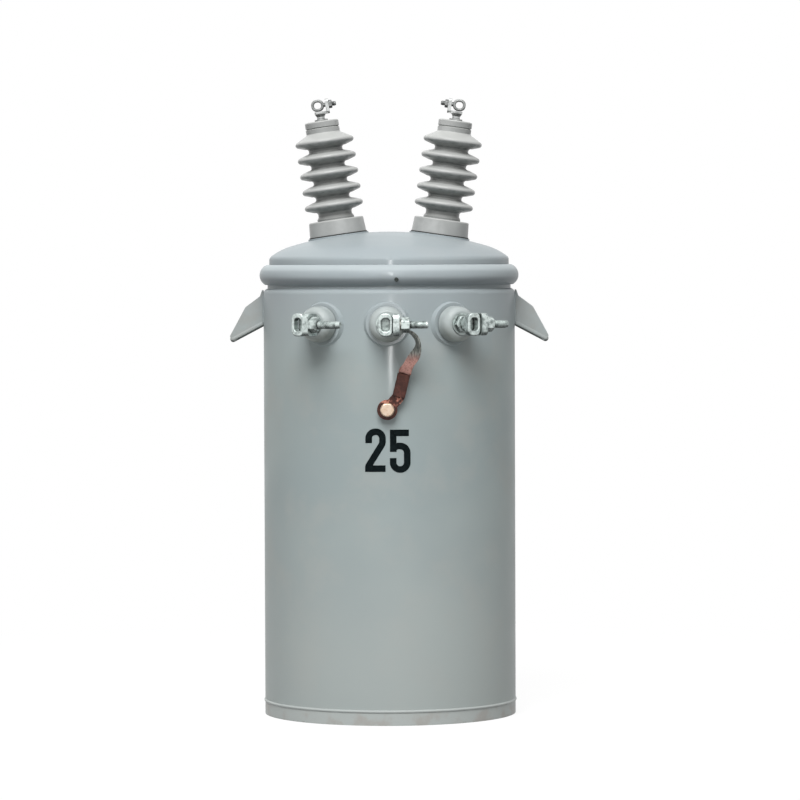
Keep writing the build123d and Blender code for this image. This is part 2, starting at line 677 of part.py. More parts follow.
def ground_strap():
    """Flat copper strap: bent edge-on from a tab under the terminal's nut, then twisted flat into the lug."""
    tab_x = LV_JAW_FAR + STRAP_T / 2
    tab_reach = 22.0
    back = -LV_EYE_AT + tab_reach
    bend_z = LV_Z - 2.0
    side = Plane((LV_JAW_FAR, -LV_EYE_AT, LV_Z), x_dir=(0, 1, 0), z_dir=(1, 0, 0))
    tab = extrude(side * Pos(tab_reach / 2, 0) * SlotOverall(tab_reach + STRAP_W, STRAP_W), STRAP_T)
    tab += Pos(tab_x, back, (bend_z + LV_Z) / 2) * Box(STRAP_T, STRAP_W, LV_Z - bend_z)
    tab -= extrude(side * Circle(LV_SHANK_R), STRAP_T)
    section = Pos(tab_x, back, bend_z) * Rectangle(STRAP_T, STRAP_W)
    bend = revolve(section, Axis((tab_x + STRAP_BEND_R, back, bend_z), (0, -1, 0)), 90)
    # Each row is the centre of a section, the direction that the strap runs in, and its width's direction.
    rows = [
        ((tab_x + STRAP_BEND_R, back, bend_z - STRAP_BEND_R), (1, 0, 0), (0, 1, 0)),
        ((37.5, back, 620.0), (0.8, 0, -0.6), (-0.1, 1, -0.14)),
        ((46.5, -247.0, 610.5), (0.45, 0.05, -0.9), (-0.28, 1, -0.14)),
        ((49.3, -245.0, 600.0), (-0.05, 0.15, -1), (-0.4, 1, 0.1)),
        ((46.8, -241.0, 589.0), (-0.42, 0.35, -0.85), (-0.75, 0.8, 0.45)),
        ((39.5, -234.5, 577.5), (-0.5, 0.45, -0.75), (-0.9, 0.25, 0.55)),
        ((31.8, -225.5, 565.0), (-0.42, 0.5, -0.8), (-0.95, 0.05, 0.42)),
    ]
    sections = []
    for centre, run, width in rows:
        run = Vector(*run).normalized()
        width = Vector(*width)
        width = (width - run * width.dot(run)).normalized()
        sections.append(Plane(centre, x_dir=width, z_dir=run) * Rectangle(STRAP_W, STRAP_T))
    top = barrel_plane(BARREL_HIGH)
    end = Plane(top.origin, x_dir=top.x_dir, z_dir=-top.z_dir)
    sections.append(end * Rectangle(STRAP_W, STRAP_T))
    return tab + bend + loft(sections)


# ---- Lifting lugs at the sides, hangers at the back ----
HOOK_T = 8.0
HOOK_ROOT = -6.0  # the plates are drawn this far into the wall, then cut to it
HOOK_CORNER_R = 4.5
HOOK_ROOT_R = 1.5
HOOK_EDGE_R = 5.0  # rolled lower edge
HOOK_EDGE_START = (-4.0, 633.7)
HOOK_EDGE_END = (49.5, 605.5)
# Corners of the plate: reach from the tank wall, and height.
HOOK_ROOTS = [(2.5, 684.5), (6.0, 674.5), (4.5, 629.5)]
HOOK_KNEES = [(29.5, 657.0), (55.0, 610.0), (50.5, 600.5)]


def lifting_lug(side):
    """Hooked plate in the XZ plane with a rolled lower edge, its root shaped to the wall."""
    upper_root, neck, lower_root = HOOK_ROOTS
    inner = [(HOOK_ROOT, HOOK_ROOTS[0][1]), (HOOK_ROOT, lower_root[1] - 3.5)]
    corners = [inner[0], upper_root, neck, *HOOK_KNEES, lower_root, inner[1]]
    plate = make_face(Plane.XZ * Polyline(*[(TANK_R + reach, z) for reach, z in corners], close=True))
    for points, radius in ((HOOK_KNEES, HOOK_CORNER_R), (HOOK_ROOTS, HOOK_ROOT_R)):
        places = [Vector(TANK_R + reach, 0, z) for reach, z in points]
        picked = [v for v in plate.vertices() if min((v.center() - p).length for p in places) < 0.1]
        plate = fillet(picked, radius)
    body = extrude(plate, HOOK_T / 2, both=True)
    start, end = ((TANK_R + reach, 0, z) for reach, z in (HOOK_EDGE_START, HOOK_EDGE_END))
    body = body + rod(start, end, HOOK_EDGE_R) + Pos(*end) * Sphere(HOOK_EDGE_R)
    body -= tank_cylinder()
    return body if side > 0 else mirror(body, Plane.YZ)


HANGER_W = 80.0
HANGER_H = 104.0
HANGER_T = 6.0
HANGER_BEND_R = 10.0
HANGER_DEPTH = HANGER_STANDOFF + 20.0  # drawn past the wall, then cut to it
HANGER_TAPER = 18.0  # degrees, of the legs towards the tank
HANGER_TAPER_H = 24.0
HANGER_TAPER_AT = TANK_R - 18.0


def hanger(centre_z):
    """Channel pressed from plate, open at top and bottom, with one upright slot in its web."""
    face_y = TANK_R + HANGER_STANDOFF
    outer = Box(HANGER_W, HANGER_DEPTH, HANGER_H)
    outer = fillet(outer.edges().filter_by(Axis.Z).group_by(Axis.Y)[-1], HANGER_BEND_R)
    inner = Box(HANGER_W - 2 * HANGER_T, HANGER_DEPTH, HANGER_H * 1.1)
    inner = fillet(inner.edges().filter_by(Axis.Z).group_by(Axis.Y)[-1], HANGER_BEND_R - HANGER_T)
    body = Pos(0, face_y - HANGER_DEPTH / 2, centre_z) * (outer - Pos(0, -HANGER_T, 0) * inner)
    body -= tank_cylinder()
    # The legs taper towards the tank wall, top and bottom.
    for end in (-1, 1):
        corner_z = centre_z + end * (HANGER_H + HANGER_TAPER_H / 2) / 2
        slope = Pos(0, HANGER_TAPER_AT, corner_z) * Rot(end * HANGER_TAPER, 0, 0)
        body -= slope * Box(HANGER_W * 1.1, HANGER_DEPTH * 1.1, HANGER_TAPER_H)
    slot = Plane((0, face_y + HANGER_T, centre_z), x_dir=(1, 0, 0), z_dir=(0, -1, 0))
    body -= extrude(slot * SlotOverall(BOLT_SLOT_LENGTH, 2 * BOLT_SLOT_R, rotation=90), 3 * HANGER_T)
    return body


# ---- Write every piece ----
save("tank_shell", tank_shell())
save("tank_bottom", tank_bottom())
save("bottom_weld", bottom_weld())
save("core_and_oil", core_and_oil())
save("cover", cover())
save("cover_gasket", cover_gasket())
save("cover_band", cover_band())
save("band_bolt", band_bolt())
save("band_nut", band_nut())

for side, name in ((-1, "left"), (1, "right")):
    place = high_voltage_place(side)
    save(f"hv_collar_{name}", place * hv_collar())
    save(f"hv_porcelain_{name}", place * hv_porcelain())
    save(f"hv_stud_{name}", place * hv_stud(side))
    save(f"hv_eyebolt_{name}", place * hv_eyebolt(side))
    save(f"hv_nut_{name}", place * hv_nut(side))
    save(f"lifting_lug_{name}", lifting_lug(side))
save("hv_gaskets", Compound([high_voltage_place(side) * hv_gasket() for side in (-1, 1)]))

for index, name in ((-1, "left"), (0, "centre"), (1, "right")):
    place = low_voltage_place(index)
    save(f"lv_porcelain_{name}", place * lv_porcelain())
    save(f"lv_locknut_{name}", place * lv_locknut())
    save(f"lv_stud_{name}", place * lv_stud())
    save(f"lv_eyebolt_{name}", place * lv_eyebolt(name))
    save(f"lv_nut_{name}", place * lv_nut(name))
save("lv_gaskets", Compound([low_voltage_place(index) * lv_gasket() for index in (-1, 0, 1)]))

save("ground_pad", ground_pad())
save("ground_bolt", ground_bolt())
save("strap_lug", strap_lug())
save("ground_strap", ground_strap())
save("lower_hanger", hanger(HANGER_LOW_Z))
save("upper_hanger", hanger(HANGER_LOW_Z + HANGER_SPACING))
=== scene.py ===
import json
from math import asin, cos, hypot, pi, radians, sin, sqrt, tan

import bpy
from mathutils import Matrix, Vector


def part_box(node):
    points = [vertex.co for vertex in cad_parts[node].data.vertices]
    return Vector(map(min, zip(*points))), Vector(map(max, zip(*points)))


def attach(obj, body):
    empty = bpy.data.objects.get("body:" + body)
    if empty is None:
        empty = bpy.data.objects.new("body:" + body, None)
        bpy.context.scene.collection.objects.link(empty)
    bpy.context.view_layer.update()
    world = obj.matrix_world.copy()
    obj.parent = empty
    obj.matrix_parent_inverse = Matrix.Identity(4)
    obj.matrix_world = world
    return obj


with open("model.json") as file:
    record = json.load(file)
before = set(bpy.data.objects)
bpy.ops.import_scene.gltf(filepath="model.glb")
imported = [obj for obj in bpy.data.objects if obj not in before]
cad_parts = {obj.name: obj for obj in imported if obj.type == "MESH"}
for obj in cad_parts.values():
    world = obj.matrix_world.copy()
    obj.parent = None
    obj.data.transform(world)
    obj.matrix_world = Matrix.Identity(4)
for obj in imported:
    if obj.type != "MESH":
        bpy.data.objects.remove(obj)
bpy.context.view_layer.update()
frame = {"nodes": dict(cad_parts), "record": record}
nodes = frame["nodes"]
ROOT = "root"
MM = 0.001
UP = Vector((0.0, 0.0, 1.0))

# ---- Places and sizes read from the frame; lengths are in metres throughout ----
TANK_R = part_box("tank_bottom")[1].x
LUG_HALF_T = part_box("lifting_lug_right")[1].y
PAD_LOW, PAD_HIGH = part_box("ground_pad")
SHOULDER_Z = 0.678  # where the straight wall ends, under the cover
mounts = {m["name"]: (Vector(m["pos_m"]), Vector(m["axis"])) for m in frame["record"]["mounts"]}

# ---- Camera ----
CAMERA_DISTANCE = 6.6
CAMERA_HEIGHT = 0.737
CAMERA_YAW = radians(0.8)
CAMERA_ROLL = radians(0.2)
CAMERA_AIM = Vector((0.017, 0.0, 0.506))
CAMERA_LENS = 183.6
SENSOR_WIDTH = 36.0
VIEW_DEPTH = 50.0


def add_camera():
    data = bpy.data.cameras.new("camera")
    data.lens = CAMERA_LENS
    data.sensor_width = SENSOR_WIDTH
    data.clip_end = VIEW_DEPTH
    camera = bpy.data.objects.new("camera", data)
    bpy.context.collection.objects.link(camera)
    back = Vector((sin(CAMERA_YAW), -cos(CAMERA_YAW), 0.0))
    place = CAMERA_AIM + CAMERA_DISTANCE * back
    place.z = CAMERA_HEIGHT
    turn = (CAMERA_AIM - place).to_track_quat("-Z", "Y").to_matrix()
    camera.location = place
    camera.rotation_euler = (turn @ Matrix.Rotation(-CAMERA_ROLL, 3, "Z")).to_euler()
    bpy.context.scene.camera = camera


# ---- Light, floor and background ----
LAMPS = (  # name, azimuth and elevation in degrees, distance, size, power, height aimed at
    ("key", -7, 47, 5.0, 3.0, 246.0, 0.42),
    ("overhead", 0, 86, 3.2, 2.4, 12.0, 0.7),
    ("rear", -158, 30, 4.5, 2.6, 80.0, 0.42),
)
FLASH_AZIMUTH = 2.1
# Small lamps, each mirrored by the enamel of one node only, and lighting nothing else
FLASHES = (  # name, node, elevation, distance, height aimed at, width, height, power
    ("streak", "tank_shell", 0, 1.5, 0.575, 0.07, 0.14, 7.0),
    ("skirt_glint", "cover", 0, 1.5, 0.727, 0.05, 0.04, 3.0),
    ("band_glint", "cover_band", 16, 2.0, 0.7, 0.05, 1.0, 48.0),
)


def add_lamp(name, azimuth, elevation, distance, size, power, aim_z):
    """An area lamp that faces the object; azimuth is 0 in front and grows to the right."""
    data = bpy.data.lights.new(name, "AREA")
    data.energy = power
    data.size = size
    lamp = bpy.data.objects.new(name, data)
    a, e = radians(azimuth), radians(elevation)
    way = Vector((sin(a) * cos(e), -cos(a) * cos(e), sin(e)))
    lamp.location = Vector((0, 0, aim_z)) + distance * way
    lamp.rotation_euler = (-way).to_track_quat("-Z", "Y").to_euler()
    lamp.visible_camera = False
    bpy.context.collection.objects.link(lamp)
    return lamp


def add_lights():
    lamps = {row[0]: add_lamp(*row) for row in LAMPS}
    lamps["rear"].visible_glossy = False
    for name, node, elevation, distance, aim_z, width, height, power in FLASHES:
        flash = add_lamp(name, FLASH_AZIMUTH, elevation, distance, width, power, aim_z)
        flash.data.shape = "RECTANGLE"
        flash.data.size_y = height
        flash.visible_diffuse = False
        lit = bpy.data.collections.new(name)
        lit.objects.link(nodes[node])
        flash.light_linking.receiver_collection = lit


def new_tree(id_block):
    id_block.use_nodes = True
    tree = id_block.node_tree
    tree.nodes.clear()
    return tree


def seen_directly(tree):
    """1 where a camera, glossy or transmission ray arrives, 0 for the light's other bounces."""
    rays = tree.nodes.new("ShaderNodeLightPath")
    last = rays.outputs["Is Camera Ray"]
    for name in ("Is Glossy Ray", "Is Transmission Ray"):
        either = tree.nodes.new("ShaderNodeMath")
        either.operation = "MAXIMUM"
        tree.links.new(last, either.inputs[0])
        tree.links.new(rays.outputs[name], either.inputs[1])
        last = either.outputs[0]
    return last


def mixed(tree, amount, first, second):
    mix = tree.nodes.new("ShaderNodeMixShader")
    tree.links.new(amount, mix.inputs["Fac"])
    tree.links.new(first, mix.inputs[1])
    tree.links.new(second, mix.inputs[2])
    return mix.outputs[0]


def plain_shader(tree, kind, colour, strength=None):
    shader = tree.nodes.new(kind)
    shader.inputs["Color"].default_value = (*colour, 1.0)
    if strength is not None:
        shader.inputs["Strength"].default_value = strength
    return shader.outputs[0]


WHITE = (1.0, 1.0, 1.0)
WORLD_LIGHT = 0.31
WORLD_TINT = (1.0, 0.975, 0.96)
FLOOR_HALF = 14.0
FLOOR_DROP = 0.0002  # below the foot
FLOOR_ALBEDO = 0.36
FLOOR_GLOW = 0.88  # of the floor close to the object, where it still takes a shadow
FLOOR_SHADE = 0.14
SHADOW_REACH = (0.45, 1.6)


def add_world():
    world = bpy.data.worlds.new("studio")
    bpy.context.scene.world = world
    tree = new_tree(world)
    out = tree.nodes.new("ShaderNodeOutputWorld")
    dim = plain_shader(tree, "ShaderNodeBackground", WORLD_TINT, WORLD_LIGHT)
    white = plain_shader(tree, "ShaderNodeBackground", WHITE, 1.0)
    tree.links.new(mixed(tree, seen_directly(tree), dim, white), out.inputs["Surface"])


def add_floor():
    mesh = bpy.data.meshes.new("floor")
    corners = [(x * FLOOR_HALF, y * FLOOR_HALF, 0) for x, y in ((-1, -1), (1, -1), (1, 1), (-1, 1))]
    mesh.from_pydata(corners, [], [(0, 1, 2, 3)])
    floor = bpy.data.objects.new("floor", mesh)
    floor.location.z = -FLOOR_DROP
    bpy.context.collection.objects.link(floor)
    material = bpy.data.materials.new("floor")
    tree = new_tree(material)
    out = tree.nodes.new("ShaderNodeOutputMaterial")
    plain = plain_shader(tree, "ShaderNodeBsdfDiffuse", (FLOOR_ALBEDO,) * 3)
    shaded = plain_shader(tree, "ShaderNodeBsdfDiffuse", (FLOOR_SHADE,) * 3)
    glow = plain_shader(tree, "ShaderNodeEmission", WHITE, FLOOR_GLOW)
    white = plain_shader(tree, "ShaderNodeEmission", WHITE, 1.0)
    near = tree.nodes.new("ShaderNodeAddShader")
    tree.links.new(shaded, near.inputs[0])
    tree.links.new(glow, near.inputs[1])
    place = tree.nodes.new("ShaderNodeTexCoord")
    reach = tree.nodes.new("ShaderNodeVectorMath")
    reach.operation = "LENGTH"
    tree.links.new(place.outputs["Object"], reach.inputs[0])
    fade = tree.nodes.new("ShaderNodeMapRange")
    fade.interpolation_type = "SMOOTHSTEP"
    fade.inputs["From Min"].default_value = SHADOW_REACH[0]
    fade.inputs["From Max"].default_value = SHADOW_REACH[1]
    tree.links.new(reach.outputs["Value"], fade.inputs["Value"])
    pale = mixed(tree, fade.outputs["Result"], near.outputs[0], white)
    tree.links.new(mixed(tree, seen_directly(tree), plain, pale), out.inputs["Surface"])
    mesh.materials.append(material)


# ---- Material building blocks ----
def srgb(red, green, blue):
    """Linear colour from 8-bit display values."""
    shares = (v / 255 for v in (red, green, blue))
    return tuple(s / 12.92 if s <= 0.04045 else ((s + 0.055) / 1.055) ** 2.4 for s in shares)


class Shader:
    """A Principled material built up a few nodes at a time, in object coordinates."""

    def __init__(self, name, **sockets):
        self.material = bpy.data.materials.new(name)
        self.tree = new_tree(self.material)
        out = self.tree.nodes.new("ShaderNodeOutputMaterial")
        self.bsdf = self.tree.nodes.new("ShaderNodeBsdfPrincipled")
        self.tree.links.new(self.bsdf.outputs[0], out.inputs["Surface"])
        self.place = self.tree.nodes.new("ShaderNodeTexCoord").outputs["Object"]
        self.normal = None
        for socket, value in sockets.items():
            self.bsdf.inputs[socket.replace("_", " ")].default_value = value

    def put(self, value, socket):
        if isinstance(value, bpy.types.NodeSocket):
            self.tree.links.new(value, socket)
        elif isinstance(value, tuple) and len(value) == 3 and socket.type == "RGBA":
            socket.default_value = (*value, 1.0)
        else:
            socket.default_value = value

    def node(self, kind, inputs, **settings):
        node = self.tree.nodes.new("ShaderNode" + kind)
        for name, value in settings.items():
            setattr(node, name, value)
        for name, value in inputs.items():
            self.put(value, node.inputs[name])
        return node

    def noise(self, scale, detail=4.0, roughness=0.55, stretch=None):
        place = self.place
        if stretch:
            place = self.node("Mapping", {"Vector": place, "Scale": stretch}).outputs["Vector"]
        inputs = {"Vector": place, "Scale": scale, "Detail": detail, "Roughness": roughness}
        return self.node("TexNoise", inputs).outputs["Fac"]

    def ramp(self, value, low, high, to_low=0.0, to_high=1.0):
        """Passes smoothly from to_low at low to to_high at high; low may be the larger."""
        if low > high:
            low, high, to_low, to_high = high, low, to_high, to_low
        inputs = {"Value": value, "From Min": low, "From Max": high,
                  "To Min": to_low, "To Max": to_high}
        return self.node("MapRange", inputs, interpolation_type="SMOOTHSTEP").outputs["Result"]

    def specks(self, scale, size):
        """Small isolated dots, 1 inside a dot."""
        cells = self.node("TexVoronoi", {"Vector": self.place, "Scale": scale})
        return self.ramp(cells.outputs["Distance"], size, size * 0.4)

    def both(self, a, b):
        """The product of two shares."""
        return self.node("Math", {0: a, 1: b}, operation="MULTIPLY").outputs[0]

    def larger(self, a, b):
        """The larger of two shares."""
        return self.node("Math", {0: a, 1: b}, operation="MAXIMUM").outputs[0]

    def along(self, axis):
        return self.node("SeparateXYZ", {0: self.place}).outputs[axis]

    def facing_up(self, low, high):
        """0 where the surface normal's upward part is at low, 1 where it is at high."""
        normal = self.node("NewGeometry", {}).outputs["Normal"]
        return self.ramp(self.node("SeparateXYZ", {0: normal}).outputs["Z"], low, high)

    def crevice(self, reach):
        """1 in corners and gaps narrower than the reach, 0 in the open: the mask for painted shade.
        """
        shade = self.node("AmbientOcclusion", {"Distance": reach}, samples=6)
        return self.ramp(shade.outputs["AO"], 0.85, 0.35)

    def blend(self, amount, first, second):
        node = self.node("Mix", {0: amount}, data_type="RGBA")
        self.put(first, node.inputs[6])
        self.put(second, node.inputs[7])
        return node.outputs[2]

    def colour(self, value):
        self.put(value, self.bsdf.inputs["Base Color"])

    def rough(self, value):
        self.put(value, self.bsdf.inputs["Roughness"])

    def bump(self, height, distance, strength=1.0):
        """Adds one more layer of relief."""
        inputs = {"Height": height, "Distance": distance, "Strength": strength}
        if self.normal is not None:
            inputs["Normal"] = self.normal
        self.normal = self.node("Bump", inputs).outputs["Normal"]
        self.put(self.normal, self.bsdf.inputs["Normal"])


# ---- Materials ----
HEIGHT_TONES = (  # heights at which a tone of the enamel starts and is full, its share, the tone
    (0.55, 0.7, 0.6, srgb(163, 171, 177)),  # under the cover
    (0.42, 0.05, 0.6, srgb(180, 187, 185)),  # down the wall, paler: painted light
    (0.027, 0.022, 0.6, srgb(194, 199, 197)),  # on the foot
)
FOOT_SMUDGES = (0.026, 0.012)  # heights at which the smudges start and are full
FOOT_SCUFFS = (0.008, 0.001)


def tank_paint(name="tank_paint", painted_light_and_shade=False, worn_and_shaded_below=False):
    """The enamel, with painted shade in its corners and a paler painted light down the wall.

    A rolled ring is painted lighter above and darker below, as light and shade; a worn plate
    is greyer, with painted shade below.
    """
    paint = Shader(name, Specular_IOR_Level=0.06, Coat_Weight=0.07, Coat_Roughness=0.13)
    broad = paint.noise(3.2, detail=3.0)
    patches = paint.noise(11.0, detail=5.0, roughness=0.6)
    tone = paint.blend(paint.ramp(broad, 0.35, 0.65), srgb(158, 170, 171), srgb(168, 179, 178))
    tone = paint.blend(paint.ramp(patches, 0.45, 0.7, 0.0, 0.5), tone, srgb(173, 178, 175))
    height = paint.along("Z")
    for start, full, share, tint in HEIGHT_TONES:
        tone = paint.blend(paint.ramp(height, start, full, 0.0, share), tone, tint)
    dusty = paint.ramp(paint.noise(60.0, detail=2.0), 0.55, 0.7, 0.0, 0.5)
    tone = paint.blend(paint.both(paint.specks(260.0, 0.08), dusty), tone, srgb(124, 128, 124))
    smudges = paint.ramp(paint.noise(26.0, detail=5.0), 0.4, 0.65)
    smudges = paint.both(smudges, paint.ramp(height, *FOOT_SMUDGES))
    tone = paint.blend(paint.ramp(smudges, 0.0, 1.0, 0.0, 0.7), tone, srgb(176, 173, 168))
    scuffs = paint.noise(90.0, detail=6.0, roughness=0.7)
    scuffs = paint.both(scuffs, paint.ramp(height, *FOOT_SCUFFS))
    tone = paint.blend(paint.ramp(scuffs, 0.54, 0.64, 0.0, 0.4), tone, srgb(124, 120, 112))
    # painted shade in corners and gaps, patchy
    painted_shade = paint.both(paint.crevice(0.004), paint.ramp(patches, 0.3, 0.7, 0.1, 0.4))
    tone = paint.blend(painted_shade, tone, srgb(116, 122, 122))
    if painted_light_and_shade:
        # painted light on what faces up, and painted shade on what faces down
        tone = paint.blend(paint.facing_up(0.3, 0.6), tone, srgb(178, 187, 190))
        tone = paint.blend(paint.facing_up(-0.05, -0.45), tone, srgb(137, 145, 149))
    if worn_and_shaded_below:
        wear = paint.ramp(paint.noise(34.0), 0.35, 0.65, 0.3, 0.75)
        tone = paint.blend(wear, tone, srgb(161, 163, 160))
        # painted shade under the plate's downward-facing edges
        tone = paint.blend(paint.facing_up(-0.15, -0.6), tone, srgb(88, 94, 92))
    paint.colour(tone)
    paint.rough(paint.ramp(patches, 0.3, 0.75, 0.36, 0.48))
    paint.bump(paint.noise(420.0, detail=2.0), 0.00012, 0.3)
    paint.bump(paint.noise(38.0, detail=2.0), 0.0005, 0.2)
    return paint.material


def glaze(name, pale, body, shade, spec, painted_shade_share, upper=None):
    """Glazed porcelain, with shade painted underneath and in its gaps.

    painted_shade_share is the share of that painted shade, and upper, if given, the tone of what
    faces up: a painted light.
    """
    pot = Shader(name, Specular_IOR_Level=spec, Coat_Weight=0.1, Coat_Roughness=0.12)
    cloud = pot.noise(45.0, detail=4.0)
    tone = pot.blend(pot.ramp(cloud, 0.35, 0.7), body, pale)
    # painted shade in the gaps, patchy
    depth = pot.both(pot.crevice(0.014), pot.ramp(cloud, 0.3, 0.7, 0.7 * painted_shade_share, painted_shade_share))
    # painted shade on what faces down
    below = pot.facing_up(0.1, -0.7)
    if upper:
        depth = pot.both(depth, pot.facing_up(0.5, 0.0))
        below = pot.facing_up(0.14, -0.3)
        # painted light: what faces up is paler
        tone = pot.blend(pot.facing_up(0.1, 0.6), tone, upper)
    uneven = pot.ramp(pot.noise(90.0), 0.3, 0.7, painted_shade_share, min(1.0, 1.6 * painted_shade_share))
    tone = pot.blend(pot.larger(pot.both(below, uneven), depth), tone, shade)
    pitted = pot.ramp(pot.noise(150.0, detail=2.0), 0.5, 0.7, 0.0, 0.7)
    pits = pot.both(pot.specks(500.0, 0.1), pitted)
    pot.colour(pot.blend(pits, tone, tuple(0.4 * c for c in shade)))
    pot.rough(pot.ramp(cloud, 0.3, 0.7, 0.28, 0.42))
    pot.bump(pot.noise(160.0, detail=2.0), 0.0003, 0.3)
    pot.bump(pot.noise(55.0, detail=2.0), 0.0012, 0.25)
    return pot.material


def metal(name, bright, tarnish, painted_shade):
    part = Shader(name, Metallic=0.8)
    cloud = part.noise(130.0, detail=5.0, roughness=0.6)
    fine = part.noise(650.0, detail=3.0)
    tone = part.blend(part.ramp(cloud, 0.4, 0.68), bright, tarnish)
    # painted shade in crevices
    tone = part.blend(part.crevice(0.005), tone, painted_shade)
    # painted shade under what faces down, mottled
    below = part.both(part.facing_up(0.0, -0.6), part.ramp(fine, 0.3, 0.7, 0.6, 1.0))
    part.colour(part.blend(below, tone, painted_shade))
    part.rough(part.ramp(cloud, 0.3, 0.7, 0.42, 0.6))
    part.bump(fine, 0.0002, 0.4)
    return part.material


def copper(name, bright, brown, dark):
    """Browned copper with no colour set yet, and the tone to set."""
    part = Shader(name, Metallic=0.55)
    cloud = part.noise(75.0, detail=6.0, roughness=0.65)
    fine = part.noise(420.0, detail=3.0)
    tone = part.blend(part.ramp(cloud, 0.42, 0.62), brown, bright)
    tone = part.blend(part.ramp(fine, 0.5, 0.72, 0.0, 0.6), tone, dark)
    # painted shade in crevices, in the dark tone
    tone = part.blend(part.crevice(0.008), tone, dark)
    part.rough(part.ramp(cloud, 0.3, 0.7, 0.38, 0.6))
    part.bump(fine, 0.0003, 0.5)
    return part, tone


BRAID_FADE = (0.573, 0.59)  # heights between which the strap's bare end passes into its darker grey top
BEND_HIGHLIGHT = (0.511, 0.516, 0.521)  # lower edge, middle and upper edge of the highlight painted on the lug's bend
HIGHLIGHT_FADE = 0.01  # fade of that painted highlight, below the bend


def strap_copper():
    part, tone = copper("strap_copper", srgb(196, 151, 141), srgb(151, 105, 97), srgb(88, 57, 51))
    strands = part.noise(520.0, detail=2.0, stretch=(1.0, 1.0, 0.22))
    dark_top = part.blend(part.ramp(strands, 0.4, 0.65), srgb(90, 92, 87), srgb(150, 152, 146))
    upper = part.ramp(part.along("Z"), *BRAID_FADE)
    part.colour(part.blend(upper, tone, dark_top))
    part.bump(strands, 0.0005, 0.6)
    return part.material


def lug_copper():
    part, tone = copper("lug_copper", srgb(88, 52, 44), srgb(64, 37, 31), srgb(34, 22, 18))
    height = part.along("Z")
    low, middle, high = BEND_HIGHLIGHT
    # a highlight painted across the lug's bend
    glow = part.both(part.ramp(height, high, middle), part.ramp(height, low - HIGHLIGHT_FADE, low))
    glow = part.both(glow, part.ramp(part.noise(150.0, detail=3.0), 0.47, 0.62))
    part.colour(part.blend(glow, tone, srgb(186, 126, 108)))
    return part.material


def rubber():
    part = Shader("gasket", Roughness=0.75, Specular_IOR_Level=0.3)
    cloud = part.ramp(part.noise(200.0, detail=4.0), 0.3, 0.7)
    part.colour(part.blend(cloud, (0.012, 0.012, 0.012), (0.05, 0.05, 0.048)))
    part.bump(part.noise(900.0), 0.0002, 0.5)
    return part.material


def numeral_paint():
    part = Shader("numeral_paint", Roughness=0.5, Specular_IOR_Level=0.05)
    cloud = part.ramp(part.noise(240.0, detail=4.0), 0.35, 0.75)
    part.colour(part.blend(cloud, srgb(8, 16, 18), srgb(20, 29, 31)))
    part.bump(part.noise(500.0), 0.0001, 0.3)
    return part.material


MATERIALS = {
    "tank_paint": tank_paint(),
    # the glazes' third tone is painted shade; hv_glaze's upper tone is painted light
    "hv_glaze": glaze("hv_glaze", srgb(176, 178, 177), srgb(163, 165, 164), srgb(113, 117, 116),
                      spec=0.25, painted_shade_share=0.64, upper=srgb(184, 186, 184)),
    "lv_glaze": glaze("lv_glaze", srgb(180, 188, 188), srgb(170, 178, 177), srgb(122, 128, 120),
                      spec=0.2, painted_shade_share=0.45),
    # in each metal here and below, the last tone is painted shade
    "tinned_bronze": metal("tinned_bronze", srgb(204, 214, 211), srgb(130, 139, 137),
                           srgb(34, 39, 38)),
    "zinc_steel": metal("zinc_steel", srgb(172, 174, 172), srgb(140, 142, 140), srgb(78, 78, 74)),
    "brass": metal("brass", srgb(216, 196, 176), srgb(197, 167, 140), srgb(90, 60, 38)),
    "copper": lug_copper(),
    "gasket": rubber(),
    "core_and_oil": rubber(),
}
HV_BRONZE = metal("hv_bronze", srgb(140, 142, 141), srgb(104, 106, 105), srgb(48, 49, 48))
PLUG_STEEL = metal("plug_steel", srgb(62, 67, 65), srgb(42, 46, 44), srgb(20, 22, 21))
NUMERAL_PAINT = numeral_paint()
OWN_MATERIALS = {  # start of a node's name, and its material in place of its slot's
    "cover_band": tank_paint("band_paint", painted_light_and_shade=True),
    "lifting_lug": tank_paint("lug_paint", worn_and_shaded_below=True),
    "ground_strap": strap_copper(),
    "hv_stud": metal("hv_stud", srgb(186, 188, 187), srgb(146, 148, 147), srgb(58, 60, 58)),
    "hv_eyebolt": HV_BRONZE,
    "hv_nut": HV_BRONZE,
}


def dress_nodes():
    for part in frame["record"]["subparts"]:
        name = part["node"]
        if name in nodes:
            own = [OWN_MATERIALS[start] for start in OWN_MATERIALS if name.startswith(start)]
            mesh = nodes[name].data
            mesh.materials.clear()
            mesh.materials.append(own[0] if own else MATERIALS[part["material_slot"]])


# ---- Added pieces ----
def add_piece(name, verts, faces, slot, material=None, smooth=True):
    mesh = bpy.data.meshes.new(name)
    mesh.from_pydata(verts, [], faces)
    piece = bpy.data.objects.new(name, mesh)
    bpy.context.collection.objects.link(piece)
    mesh.materials.append(material or MATERIALS[slot])
    if smooth:
        mesh.polygons.foreach_set("use_smooth", [True] * len(mesh.polygons))
    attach(piece, ROOT)


def on_wall(x, z, proud):
    """A point over the front of the tank wall, x to the right of its middle."""
    radius = TANK_R + proud
    return Vector((x, -sqrt(radius * radius - x * x), z))


# -- Numerals: strokes of one width, each a run of straights and round bends --
NUMERAL_PROUD = 0.0002
LAYER_RISE = 0.2  # of that, from one stroke of a numeral to the next
STROKE_W = 0.0104
STROKE_STEP = 0.002
BEND_STEPS = 10
STROKES = {  # x, z and bend radius of each corner, in mm
    "two": [[(-29.7, 445.3, 0), (-29.7, 463.3, 10.6), (-7.8, 463.3, 10.6), (-7.8, 445.0, 14),
             (-30.2, 409.0, 4), (-30.2, 405.3, 0), (-3.2, 405.3, 0)]],
    "five": [[(33.6, 461.4, 0), (9.0, 461.4, 0), (9.0, 431.5, 0)],
             [(8.0, 436.6, 0), (14.8, 440.9, 6), (30.9, 440.9, 11), (30.9, 403.9, 11),
              (8.8, 403.9, 11), (8.8, 422.0, 0)]],
}


